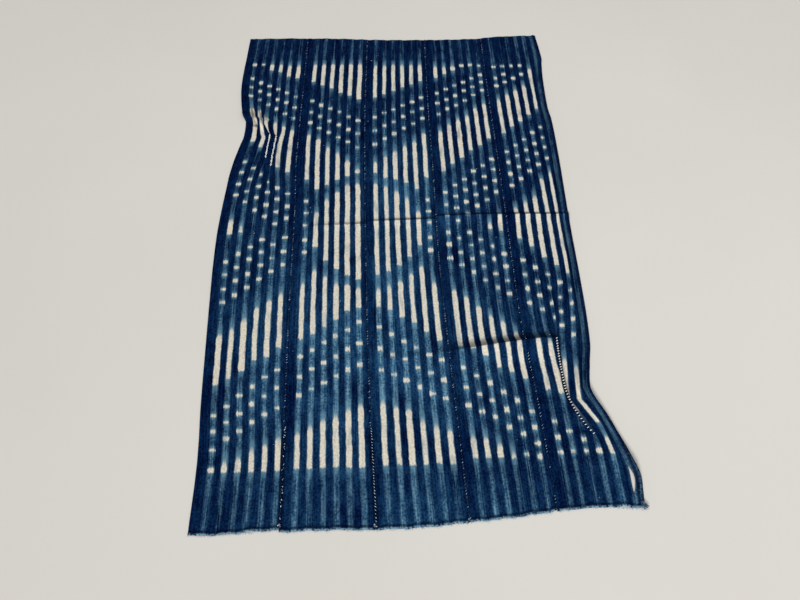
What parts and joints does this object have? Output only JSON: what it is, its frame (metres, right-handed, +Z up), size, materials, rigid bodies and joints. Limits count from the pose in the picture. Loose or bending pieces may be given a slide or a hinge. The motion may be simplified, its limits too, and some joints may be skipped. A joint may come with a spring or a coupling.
{
  "type": "indigo cloth",
  "caption": "Handwoven indigo cloth of narrow resist-dyed panels sewn edge to edge, laid flat with soft creases, puckered mends and rolled edges.",
  "frame": {"origin": "middle of the cloth's outline, on the underside that lies on the floor", "axes": "+X across the panels to the right, +Y along the panels away from the viewer, +Z up"},
  "size_m": [1.0672, 1.675, 0.0209],
  "materials": {
    "indigo_cotton": "matte handwoven cotton dyed with indigo, with undyed resist marks"
  },
  "bodies": {
    "root": {"panel_1": "indigo_cotton", "panel_2": "indigo_cotton", "panel_3": "indigo_cotton", "panel_4": "indigo_cotton", "panel_5": "indigo_cotton"}
  },
  "joints": []
}
